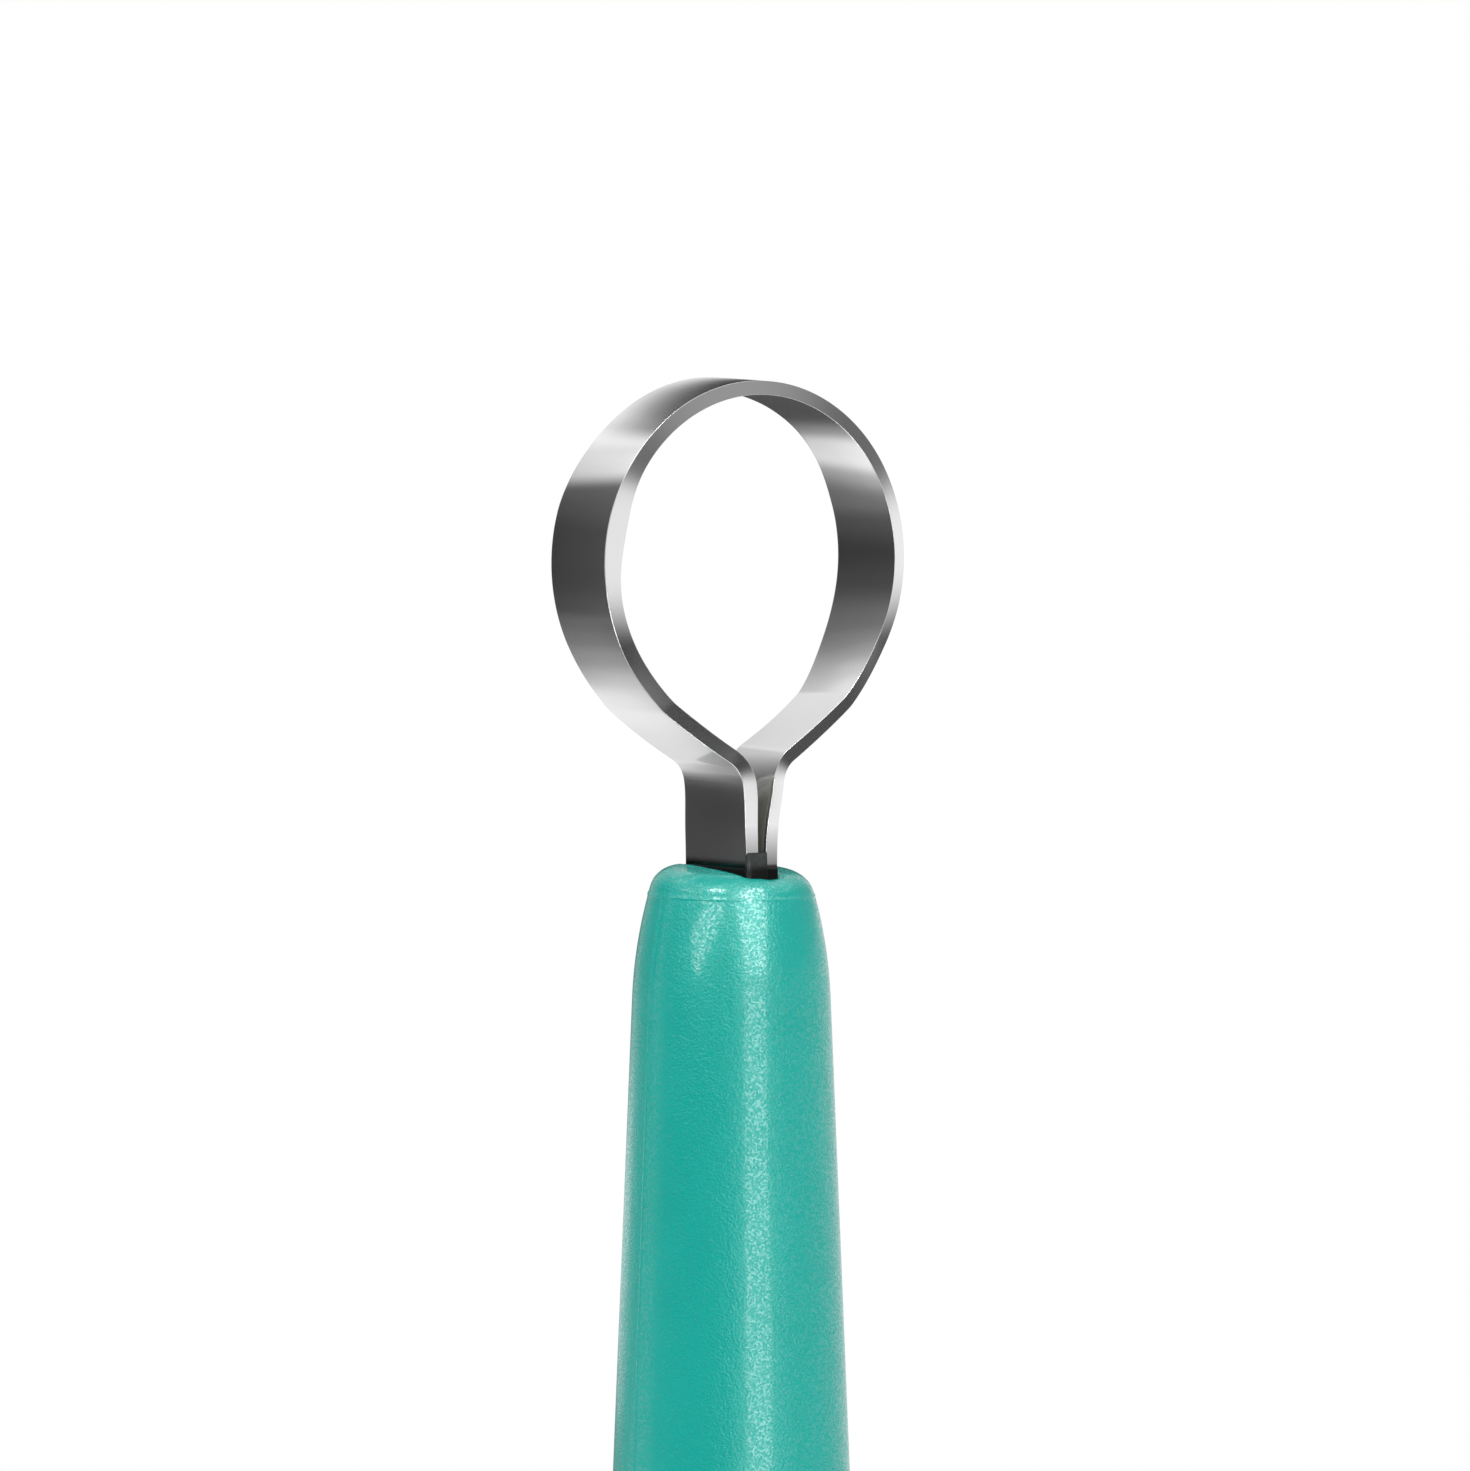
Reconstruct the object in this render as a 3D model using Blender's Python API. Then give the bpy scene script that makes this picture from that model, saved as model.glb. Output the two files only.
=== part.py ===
"""Dermal curette: a ring of steel strip set in a slim moulded handle.

Metres, +Z along the handle towards the ring. The origin is the middle of the
flat at the end of the tail. The ring's own axis runs along Y, and its honed
rim faces -Y.
"""

import math

import bmesh
import bpy
import numpy as np

MM = 0.001

# Handle: lengths along Z, from the tail to the tip
HANDLE_LENGTH = 130.6 * MM
TAIL_FLAT_RADIUS = 1.8 * MM
TAIL_ROUNDING = 2.0 * MM
TAIL_RADIUS = 3.2 * MM
BARREL_RADIUS = 3.6 * MM
BARREL_TOP = 74.0 * MM
GRIP_BOTTOM = 82.0 * MM
GRIP_TOP = 104.0 * MM
GRIP_RADIUS = 4.0 * MM
NOSE_BOTTOM = 113.0 * MM

# Handle: the nose, a straight taper that rounds over into a low crown
NOSE_TAPER = math.radians(2.32)
TIP_CROWN_RADIUS = 10.8 * MM
TIP_CROWN_EDGE = 1.1 * MM
TIP_SHOULDER_RADIUS = 0.55 * MM
TIP_OGIVE_RADIUS = 9.14 * MM
TIP_OGIVE_START = math.radians(16.0)

# Handle: grooves round the grip and the two bare flats on the barrel
GROOVE_COUNT = 9
GROOVE_PITCH = 2.2 * MM
GROOVE_WIDTH = 1.1 * MM
GROOVE_FLOOR = 0.5 * MM
GROOVE_DEPTH = 0.3 * MM
FLAT_BOTTOM = 22.0 * MM
FLAT_LENGTH = 40.0 * MM
FLAT_DISTANCE = 6.2 * MM
FLAT_RUN_OUT = 3.0 * MM

# Steel strip
STRIP_WIDTH = 2.08 * MM
STRIP_THICKNESS = 0.27 * MM
HONE_DEPTH = 0.16 * MM
HONE_BEVEL = 0.07 * MM
LOOP_DIAMETER = 7.0 * MM
LEG_SPACING = 0.44 * MM
LEG_DEPTH = 8.0 * MM

# Strip: the bends of one half, from the leg up to the loop. Each angle is how
# far the strip leans outwards from the handle's axis where that bend ends.
LEG_BEND_RADIUS = 12.4 * MM
LEG_ANGLE = math.radians(7.9)
NECK_BEND_RADIUS = 0.75 * MM
NECK_ANGLE = math.radians(58.0)
FLANK_ANGLE = math.radians(53.0)
SHOULDER_RADIUS = 1.3 * MM
SHOULDER_ANGLE = math.radians(44.7)
BULGE_RADIUS = 4.75 * MM
BULGE_ANGLE = math.radians(28.2)
LOOP_TOP_ANGLE = -math.pi / 2

# Slot in the tip and the compound that fills it
SLOT_LIP = 0.1 * MM
SLOT_CLEARANCE = 0.12 * MM
SLOT_CORNER_RADIUS = 0.16 * MM
SLOT_END_CLEARANCE = 0.4 * MM
FILLER_CLEARANCE = 0.015 * MM
FILLER_COLLAR_HEIGHT = 0.05 * MM
FILLER_TONGUE_HEIGHT = 0.37 * MM
FILLER_LAP_THICKNESS = 0.04 * MM

# Fineness of the facets
TURN_SEGMENTS = 48
STRIP_STEP = math.radians(4.0)
PROFILE_STEP = math.radians(7.0)
BLEND_STEPS = 7
CORNER_SEGMENTS = 4
SHARP_EDGE = math.radians(35.0)

PLASTIC_TEAL = (0.012, 0.40, 0.32, 1.0)
STEEL_GREY = (0.62, 0.62, 0.63, 1.0)
COMPOUND_BLACK = (0.02, 0.023, 0.023, 1.0)


def clear_scene():
    for obj in list(bpy.data.objects):
        bpy.data.objects.remove(obj, do_unlink=True)


def make_material(name, colour, roughness, metallic):
    material = bpy.data.materials.new(name)
    material.use_nodes = True
    shader = material.node_tree.nodes["Principled BSDF"]
    shader.inputs["Base Color"].default_value = colour
    shader.inputs["Roughness"].default_value = roughness
    shader.inputs["Metallic"].default_value = metallic
    material.diffuse_color = colour
    return material


def add_object(name, mesh, material=None):
    obj = bpy.data.objects.new(name, mesh)
    bpy.context.scene.collection.objects.link(obj)
    if material:
        mesh.materials.append(material)
    return obj


def make_cutter(obj):
    obj.hide_render = True
    obj.display_type = "WIRE"


def add_boolean(obj, name, other, operation="DIFFERENCE"):
    modifier = obj.modifiers.new(name, "BOOLEAN")
    modifier.operation = operation
    modifier.solver = "EXACT"
    modifier.object = other


def arc_points(start, radius, angle_from, angle_to, step):
    """Points after start along an arc, and the angle reached at each.

    The line is travelled at an angle measured from +Z towards +X, which turns
    evenly from angle_from to angle_to.
    """
    count = max(1, math.ceil(abs(angle_to - angle_from) / step))
    angles = np.linspace(angle_from, angle_to, count + 1)[1:]
    turn = radius if angle_to > angle_from else -radius
    across = start[0] + turn * (math.cos(angle_from) - np.cos(angles))
    along = start[1] + turn * (np.sin(angles) - math.sin(angle_from))
    return list(zip(across, along)), list(angles)


def smooth_step(share):
    """0 to 1 with no slope at either end."""
    share = np.clip(share, 0.0, 1.0)
    return share * share * (3.0 - 2.0 * share)


# Handle

def nose_profile():
    """The nose from the axis at the tip down to where its taper ends."""
    out = math.pi / 2
    crown_angle = math.asin(TIP_CROWN_EDGE / TIP_CROWN_RADIUS)
    points = [(0.0, HANDLE_LENGTH)]
    bends = (
        (TIP_CROWN_RADIUS, out, out + crown_angle),
        (TIP_SHOULDER_RADIUS, out + crown_angle, math.pi - TIP_OGIVE_START),
        (TIP_OGIVE_RADIUS, math.pi - TIP_OGIVE_START, math.pi - NOSE_TAPER),
    )
    for radius, angle_from, angle_to in bends:
        added, _ = arc_points(points[-1], radius, angle_from, angle_to, PROFILE_STEP)
        points += added
    radius, height = points[-1]
    points.append((radius + (height - NOSE_BOTTOM) * math.tan(NOSE_TAPER), NOSE_BOTTOM))
    return points


def blend_profile(start, end):
    """An S-shaped run from one (radius, height) to another, both left out."""
    shares = np.linspace(0.0, 1.0, BLEND_STEPS + 1)[1:-1]
    radii = start[0] + (end[0] - start[0]) * smooth_step(shares)
    heights = start[1] + (end[1] - start[1]) * shares
    return list(zip(radii, heights))


def groove_profile(centre):
    """One groove round the grip, with sloped sides and a flat floor."""
    floor_radius = GRIP_RADIUS - GROOVE_DEPTH
    return [
        (GRIP_RADIUS, centre + GROOVE_WIDTH / 2),
        (floor_radius, centre + GROOVE_FLOOR / 2),
        (floor_radius, centre - GROOVE_FLOOR / 2),
        (GRIP_RADIUS, centre - GROOVE_WIDTH / 2),
    ]


def tail_profile():
    """The rounded end of the tail, down to its flat."""
    steps = np.linspace(0.0, math.pi / 2, BLEND_STEPS)
    radii = TAIL_FLAT_RADIUS + (TAIL_RADIUS - TAIL_FLAT_RADIUS) * np.cos(steps)
    heights = TAIL_ROUNDING * (1.0 - np.sin(steps))
    return list(zip(radii, heights)) + [(0.0, 0.0)]


def handle_profile():
    """The handle's outline in the XZ plane, from the tip down to the tail."""
    points = nose_profile()
    grip_top = (GRIP_RADIUS, GRIP_TOP)
    points += blend_profile(points[-1], grip_top) + [grip_top]
    grip_middle = (GRIP_TOP + GRIP_BOTTOM) / 2
    for index in range(GROOVE_COUNT):
        from_middle = (GROOVE_COUNT - 1) / 2 - index
        points += groove_profile(grip_middle + from_middle * GROOVE_PITCH)
    grip_bottom = (GRIP_RADIUS, GRIP_BOTTOM)
    barrel_top = (BARREL_RADIUS, BARREL_TOP)
    points += [grip_bottom] + blend_profile(grip_bottom, barrel_top) + [barrel_top]
    return points + tail_profile()


def make_handle(material):
    profile = handle_profile()
    mesh = bpy.data.meshes.new("handle")
    edges = [(i, i + 1) for i in range(len(profile) - 1)]
    mesh.from_pydata([(x, 0.0, z) for x, z in profile], edges, [])
    handle = add_object("handle", mesh, material)
    turn = handle.modifiers.new("turn", "SCREW")
    turn.steps = TURN_SEGMENTS
    turn.render_steps = TURN_SEGMENTS
    turn.use_merge_vertices = True
    turn.merge_threshold = 1e-6
    turn.use_smooth_shade = True
    add_boolean(handle, "slot", make_slot_cutter())
    for side in (-1, 1):
        add_boolean(handle, "flat", make_flat_cutter(side))
    return handle


# Cutters for the handle

def rounded_rectangle(half_x, half_y, corner):
    """Corners run anticlockwise, each a quarter turn of the corner radius."""
    turns = np.linspace(0.0, math.pi / 2, CORNER_SEGMENTS + 1)
    centres = ((1, 1), (-1, 1), (-1, -1), (1, -1))
    points = []
    for quarter, (side_x, side_y) in enumerate(centres):
        angles = turns + quarter * math.pi / 2
        across = side_x * (half_x - corner) + corner * np.cos(angles)
        along = side_y * (half_y - corner) + corner * np.sin(angles)
        points += list(zip(across, along))
    return points


def prism(name, outline, bottom, top):
    """An upright solid with the given outline, anticlockwise seen from above."""
    shape = bmesh.new()
    floor = shape.faces.new([shape.verts.new((x, y, bottom)) for x, y in outline])
    raised = bmesh.ops.extrude_face_region(shape, geom=[floor])["geom"]
    lifted = [part for part in raised if isinstance(part, bmesh.types.BMVert)]
    bmesh.ops.translate(shape, verts=lifted, vec=(0.0, 0.0, top - bottom))
    bmesh.ops.recalc_face_normals(shape, faces=shape.faces)
    mesh = bpy.data.meshes.new(name)
    shape.to_mesh(mesh)
    shape.free()
    return mesh


def slot_mouth():
    """Height at which the legs come out of the compound, just below the crown."""
    return HANDLE_LENGTH - SLOT_LIP


def slot_half_size():
    half_x = LEG_SPACING / 2 + STRIP_THICKNESS / 2 + SLOT_CLEARANCE
    return half_x, STRIP_WIDTH / 2 + SLOT_CLEARANCE


def slot_floor():
    return slot_mouth() - LEG_DEPTH - SLOT_END_CLEARANCE


def make_slot_cutter():
    outline = rounded_rectangle(*slot_half_size(), SLOT_CORNER_RADIUS)
    above_tip = HANDLE_LENGTH + LEG_DEPTH
    cutter = add_object("slot_cutter", prism("slot_cutter", outline, slot_floor(), above_tip))
    make_cutter(cutter)
    return cutter


def make_flat_cutter(side):
    """A block outside one flat, whose ends slope outwards so that the flat runs out."""
    flat_top = FLAT_BOTTOM + FLAT_LENGTH
    inner = side * FLAT_DISTANCE / 2
    outer = side * (FLAT_DISTANCE / 2 + BARREL_RADIUS)
    ends = (
        (inner, FLAT_BOTTOM, flat_top),
        (outer, FLAT_BOTTOM - FLAT_RUN_OUT, flat_top + FLAT_RUN_OUT),
    )
    shape = bmesh.new()
    loops = []
    for y, low, high in ends:
        corners = (
            (-BARREL_RADIUS, y, low),
            (BARREL_RADIUS, y, low),
            (BARREL_RADIUS, y, high),
            (-BARREL_RADIUS, y, high),
        )
        loops.append([shape.verts.new(corner) for corner in corners])
        shape.faces.new(loops[-1])
    for index in range(4):
        after = (index + 1) % 4
        shape.faces.new((loops[0][index], loops[0][after], loops[1][after], loops[1][index]))
    bmesh.ops.recalc_face_normals(shape, faces=shape.faces)
    mesh = bpy.data.meshes.new("flat_cutter")
    shape.to_mesh(mesh)
    shape.free()
    cutter = add_object("flat_cutter", mesh)
    make_cutter(cutter)
    return cutter


# Ring blade

def flank_radius():
    """The radius at which the flank's arc closes the strip at the top of the loop.

    The steps outwards and inwards along one half add up to the foot's distance
    from the axis, and the flank takes what the other bends leave.
    """
    loop_radius = (LOOP_DIAMETER - STRIP_THICKNESS) / 2
    lower = (
        LEG_SPACING / 2
        + LEG_BEND_RADIUS * (1.0 - math.cos(LEG_ANGLE))
        + NECK_BEND_RADIUS * (math.cos(LEG_ANGLE) - math.cos(NECK_ANGLE))
    )
    upper = (
        SHOULDER_RADIUS * (math.cos(SHOULDER_ANGLE) - math.cos(FLANK_ANGLE))
        + BULGE_RADIUS * (math.cos(BULGE_ANGLE) - math.cos(SHOULDER_ANGLE))
        - loop_radius * math.cos(BULGE_ANGLE)
    )
    return -(lower + upper) / (math.cos(FLANK_ANGLE) - math.cos(NECK_ANGLE))


def half_path():
    """The middle line of one half from the leg's end up to the top of the loop.

    Returns points (x, z), the lean at each, and two shares from 0 on the leg to 1
    on the loop: how far the rim is ground back, and how far it is bevelled. The
    bevel starts in the neck, and the rim goes back along the flank.
    """
    loop_radius = (LOOP_DIAMETER - STRIP_THICKNESS) / 2
    foot = (LEG_SPACING / 2, slot_mouth())
    points = [(LEG_SPACING / 2, slot_mouth() - LEG_DEPTH), foot]
    angles = [0.0, 0.0]
    bends = (
        (LEG_BEND_RADIUS, LEG_ANGLE),
        (NECK_BEND_RADIUS, NECK_ANGLE),
        (flank_radius(), FLANK_ANGLE),
        (SHOULDER_RADIUS, SHOULDER_ANGLE),
        (BULGE_RADIUS, BULGE_ANGLE),
        (loop_radius, LOOP_TOP_ANGLE),
    )
    for radius, angle_to in bends:
        added, reached = arc_points(points[-1], radius, angles[-1], angle_to, STRIP_STEP)
        points += added
        angles += reached
        if angle_to == LEG_ANGLE:
            neck_start = added[-1][1]
        if angle_to == NECK_ANGLE:
            neck_end = added[-1][1]
        if angle_to == BULGE_ANGLE:
            loop_start = added[-1][1]
    heights = np.array([height for _, height in points])
    ground = smooth_step((heights - neck_end) / (loop_start - neck_end))
    bevelled = smooth_step((heights - neck_start) / (neck_end - neck_start))
    return np.array(points), np.array(angles), ground, bevelled


def strip_sections():
    """The strip's four corners at each point of its whole path, leg to leg."""
    points, angles, ground, bevelled = half_path()
    outward = np.stack([np.cos(angles), -np.sin(angles)], axis=1)
    edge = -STRIP_WIDTH / 2 + HONE_DEPTH * ground
    corners = (
        (-STRIP_THICKNESS / 2, edge),
        (STRIP_THICKNESS / 2, edge + HONE_BEVEL * bevelled),
        (STRIP_THICKNESS / 2, np.full(len(edge), STRIP_WIDTH / 2)),
        (-STRIP_THICKNESS / 2, np.full(len(edge), STRIP_WIDTH / 2)),
    )
    right = np.empty((len(points), len(corners), 3))
    for index, (offset, y) in enumerate(corners):
        moved = points + offset * outward
        right[:, index, 0] = moved[:, 0]
        right[:, index, 1] = y
        right[:, index, 2] = moved[:, 1]
    left = right[:-1] * (-1.0, 1.0, 1.0)
    return np.concatenate([left, right[::-1]])


def make_ring_blade(material):
    sections = strip_sections()
    shape = bmesh.new()
    rings = [[shape.verts.new(corner) for corner in section] for section in sections]
    for ring, after in zip(rings, rings[1:]):
        for index in range(4):
            following = (index + 1) % 4
            shape.faces.new((ring[index], ring[following], after[following], after[index]))
    shape.faces.new(rings[0])
    shape.faces.new(rings[-1])
    bmesh.ops.recalc_face_normals(shape, faces=shape.faces)
    mesh = bpy.data.meshes.new("ring_blade")
    shape.to_mesh(mesh)
    shape.free()
    mesh.shade_smooth()
    mesh.set_sharp_from_angle(angle=SHARP_EDGE)
    return add_object("ring_blade", mesh, material)


# Compound in the slot

def leg_box(side, grown):
    """The outline of one leg in plan, grown all round."""
    half_x = STRIP_THICKNESS / 2 + grown
    half_y = STRIP_WIDTH / 2 + grown
    middle = side * LEG_SPACING / 2
    return [
        (middle - half_x, -half_y),
        (middle + half_x, -half_y),
        (middle + half_x, half_y),
        (middle - half_x, half_y),
    ]


def tongue_outline():
    """The rise between the legs, which turns the corner over the left leg's near edge."""
    left = -(LEG_SPACING + STRIP_THICKNESS) / 2
    gap = (LEG_SPACING - STRIP_THICKNESS) / 2 - FILLER_CLEARANCE
    edge = STRIP_WIDTH / 2
    lap_back = -edge - FILLER_CLEARANCE
    lap_front = lap_back - FILLER_LAP_THICKNESS
    return [
        (left, lap_front),
        (gap, lap_front),
        (gap, edge),
        (-gap, edge),
        (-gap, lap_back),
        (left, lap_back),
    ]


def make_leg_filler(material):
    half_x, half_y = slot_half_size()
    outline = rounded_rectangle(
        half_x - FILLER_CLEARANCE,
        half_y - FILLER_CLEARANCE,
        SLOT_CORNER_RADIUS - FILLER_CLEARANCE,
    )
    floor = slot_floor() + FILLER_CLEARANCE
    collar_top = slot_mouth() + FILLER_COLLAR_HEIGHT
    filler = add_object("leg_filler", prism("leg_filler", outline, floor, collar_top), material)
    tongue_floor = floor + SLOT_END_CLEARANCE
    tongue_top = slot_mouth() + FILLER_TONGUE_HEIGHT
    tongue = add_object("tongue", prism("tongue", tongue_outline(), tongue_floor, tongue_top))
    make_cutter(tongue)
    add_boolean(filler, "tongue", tongue, "UNION")
    leg_floor = slot_mouth() - LEG_DEPTH - FILLER_CLEARANCE
    leg_top = HANDLE_LENGTH + LEG_DEPTH
    for side in (-1, 1):
        outline = leg_box(side, FILLER_CLEARANCE)
        cutter = add_object("leg_cutter", prism("leg_cutter", outline, leg_floor, leg_top))
        make_cutter(cutter)
        add_boolean(filler, "leg", cutter)
    return filler


clear_scene()
plastic = make_material("teal_plastic", PLASTIC_TEAL, roughness=0.42, metallic=0.0)
steel = make_material("strip_steel", STEEL_GREY, roughness=0.16, metallic=1.0)
compound = make_material("black_compound", COMPOUND_BLACK, roughness=0.35, metallic=0.0)
make_handle(plastic)
make_ring_blade(steel)
make_leg_filler(compound)
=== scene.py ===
import math

import bpy
import numpy as np
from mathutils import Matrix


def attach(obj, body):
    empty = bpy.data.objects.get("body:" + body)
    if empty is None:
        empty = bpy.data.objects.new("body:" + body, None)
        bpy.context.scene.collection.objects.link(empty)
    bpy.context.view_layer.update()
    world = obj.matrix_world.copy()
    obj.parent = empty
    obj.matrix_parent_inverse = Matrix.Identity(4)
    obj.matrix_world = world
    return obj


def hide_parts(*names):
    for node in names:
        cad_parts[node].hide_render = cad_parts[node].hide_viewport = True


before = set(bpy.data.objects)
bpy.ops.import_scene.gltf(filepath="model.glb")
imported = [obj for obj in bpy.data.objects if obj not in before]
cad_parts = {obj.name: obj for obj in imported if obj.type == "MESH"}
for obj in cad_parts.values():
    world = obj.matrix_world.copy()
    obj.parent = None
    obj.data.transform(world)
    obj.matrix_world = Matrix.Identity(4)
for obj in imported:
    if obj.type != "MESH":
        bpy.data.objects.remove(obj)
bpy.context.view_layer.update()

MM = 0.001


# Handle
# One injection moulding in teal plastic, slim at the nose and thick at the grip,
# with a slot in its tip for the blade's legs. The two mould halves meet in the
# ring's plane, and the insert that shapes the tip leaves a fine ring round it.

HANDLE_LENGTH = 130.6 * MM
NOSE_TAPER = math.radians(2.32)
CROWN_RADIUS = 10.8 * MM
CROWN_EDGE = 1.1 * MM
SHOULDER_RADIUS = 0.55 * MM
OGIVE_RADIUS = 9.14 * MM
OGIVE_START = math.radians(16.0)
NOSE_BOTTOM = 113.0 * MM
GRIP_TOP = 104.0 * MM
GRIP_BOTTOM = 82.0 * MM
GRIP_RADIUS = 4.0 * MM
BARREL_TOP = 74.0 * MM
BARREL_RADIUS = 3.6 * MM
TAIL_RADIUS = 3.2 * MM
TAIL_FLAT_RADIUS = 1.8 * MM
TAIL_ROUNDING = 2.0 * MM
GROOVE_COUNT = 9
GROOVE_PITCH = 2.2 * MM
GROOVE_WIDTH = 1.1 * MM
GROOVE_FLOOR = 0.5 * MM
GROOVE_DEPTH = 0.3 * MM
FLAT_BOTTOM = 22.0 * MM
FLAT_TOP = 62.0 * MM
FLAT_OFFSET = 3.1 * MM
FLAT_RUN_OUT_SLOPE = 1.2
CROWN_TILT = 0.068
CROWN_TILT_DEPTH = 0.9 * MM
CROWN_SINK = 0.03 * MM

# The dip at the near end of the slot: its depth, its middle and reach in x and y.
LIP_DIP = 0.045 * MM
LIP_DIP_MIDDLE = (0.10 * MM, -1.25 * MM)
LIP_DIP_REACH = (0.26 * MM, 0.32 * MM)

STRIP_WIDTH = 2.08 * MM
STRIP_THICKNESS = 0.27 * MM
LEG_SPACING = 0.44 * MM
LEG_DEPTH = 8.0 * MM
SLOT_LIP = 0.1 * MM
MOUTH = HANDLE_LENGTH - SLOT_LIP
SLOT_CLEARANCE = 0.065 * MM
SLOT_CORNER = 0.16 * MM
SLOT_HALF_X = LEG_SPACING / 2 + STRIP_THICKNESS / 2 + SLOT_CLEARANCE
SLOT_HALF_Y = STRIP_WIDTH / 2 + SLOT_CLEARANCE
LIP_RUN = 0.3 * MM
LIP_DROP = 0.1 * MM
LIP_MARGIN = 0.06 * MM
SLOT_END_CLEARANCE = 0.4 * MM
SLOT_FLOOR = MOUTH - LEG_DEPTH - SLOT_END_CLEARANCE

PARTING_HEIGHT = 0.012 * MM
PARTING_WIDTH = 0.03 * MM
PARTING_CROWDING = 0.35
RING_LINE_DROP = 0.57 * MM
RING_LINE_STEP = 0.016 * MM
RING_LINE_WIDTH = 0.03 * MM

ALMOST_ZERO = 1e-9


def bend(start, radius, turn_from, turn_to, count):
    """Points along an arc after its start, and the travel angle at each.

    The angle a is measured from +Z towards +X. With it turning evenly, the point is
    x = x0 + r (cos a0 - cos a), z = z0 + r (sin a - sin a0), with r negative where
    the angle falls.
    """
    angles = np.linspace(turn_from, turn_to, count + 1)[1:]
    turn = math.copysign(radius, turn_to - turn_from)
    across = start[0] + turn * (math.cos(turn_from) - np.cos(angles))
    along = start[1] + turn * (np.sin(angles) - math.sin(turn_from))
    return np.stack([across, along], axis=1), angles


def smooth_step(share):
    """3 s^2 - 2 s^3, from 0 to 1 with no slope at either end."""
    share = np.clip(share, 0.0, 1.0)
    return share * share * (3.0 - 2.0 * share)


def nose_outline():
    """Radius and height from the middle of the crown down to the end of the taper."""
    out = math.pi / 2
    crown_angle = math.asin(CROWN_EDGE / CROWN_RADIUS)
    points = [np.array([[0.0, HANDLE_LENGTH]])]
    bends = (
        (CROWN_RADIUS, out, out + crown_angle, 16),
        (SHOULDER_RADIUS, out + crown_angle, math.pi - OGIVE_START, 28),
        (OGIVE_RADIUS, math.pi - OGIVE_START, math.pi - NOSE_TAPER, 36),
    )
    for radius, turn_from, turn_to, count in bends:
        added, _ = bend(points[-1][-1], radius, turn_from, turn_to, count)
        points.append(added)
    radius, height = points[-1][-1]
    heights = np.linspace(height, NOSE_BOTTOM, 18)[1:]
    radii = radius + (height - heights) * math.tan(NOSE_TAPER)
    points.append(np.stack([radii, heights], axis=1))
    return np.concatenate(points)


def grip_outline(nose_end_radius):
    """Radius and height of the grip, with its grooves, and of the two blends beside it.

    A blend goes from one radius to the next with smooth_step. A groove takes its
    depth off the radius with smooth_step on each of its sloped sides.
    """
    above = np.linspace(NOSE_BOTTOM, GRIP_TOP, 17)[1:]
    share = (NOSE_BOTTOM - above) / (NOSE_BOTTOM - GRIP_TOP)
    above_radii = nose_end_radius + (GRIP_RADIUS - nose_end_radius) * smooth_step(share)
    along = np.linspace(GRIP_TOP, GRIP_BOTTOM, 110)[1:]
    middle = (GRIP_TOP + GRIP_BOTTOM) / 2
    outermost = GROOVE_COUNT // 2
    nearest = np.clip(np.round((along - middle) / GROOVE_PITCH), -outermost, outermost)
    distance = np.abs(along - middle - nearest * GROOVE_PITCH)
    slope = (GROOVE_WIDTH - GROOVE_FLOOR) / 2
    along_radii = GRIP_RADIUS - GROOVE_DEPTH * smooth_step((GROOVE_WIDTH / 2 - distance) / slope)
    below = np.linspace(GRIP_BOTTOM, BARREL_TOP, 13)[1:]
    share = (GRIP_BOTTOM - below) / (GRIP_BOTTOM - BARREL_TOP)
    below_radii = GRIP_RADIUS + (BARREL_RADIUS - GRIP_RADIUS) * smooth_step(share)
    heights = np.concatenate([above, along, below])
    radii = np.concatenate([above_radii, along_radii, below_radii])
    return np.stack([radii, heights], axis=1)


def tail_outline():
    """Radius and height of the barrel and of the quarter ellipse that rounds the tail."""
    barrel = np.linspace(BARREL_TOP, TAIL_ROUNDING, 44)[1:]
    share = (BARREL_TOP - barrel) / (BARREL_TOP - TAIL_ROUNDING)
    barrel_radii = BARREL_RADIUS + (TAIL_RADIUS - BARREL_RADIUS) * share
    turns = np.linspace(0.0, math.pi / 2, 12)[1:]
    tail_radii = TAIL_FLAT_RADIUS + (TAIL_RADIUS - TAIL_FLAT_RADIUS) * np.cos(turns)
    tail = TAIL_ROUNDING * (1.0 - np.sin(turns))
    heights = np.concatenate([barrel, tail])
    radii = np.concatenate([barrel_radii, tail_radii])
    return np.stack([radii, heights], axis=1)


def slot_radius(around, half_x, half_y, corner):
    """Distance from the middle to a rounded rectangle's edge in each direction.

    The ray meets the long side at half_x / cos, the short side at half_y / sin,
    or the corner's circle, whichever it crosses.
    """
    cosine = np.maximum(np.abs(np.cos(around)), ALMOST_ZERO)
    sine = np.maximum(np.abs(np.sin(around)), ALMOST_ZERO)
    centre_x = half_x - corner
    centre_y = half_y - corner
    to_centre = centre_x * cosine + centre_y * sine
    inside = to_centre ** 2 - (centre_x ** 2 + centre_y ** 2 - corner ** 2)
    to_corner = to_centre + np.sqrt(np.maximum(inside, 0.0))
    to_side = half_x / cosine
    to_end = half_y / sine
    on_side = to_side * sine <= centre_y
    on_end = to_end * cosine <= centre_x
    return np.where(on_side, to_side, np.where(on_end, to_end, to_corner))


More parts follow.
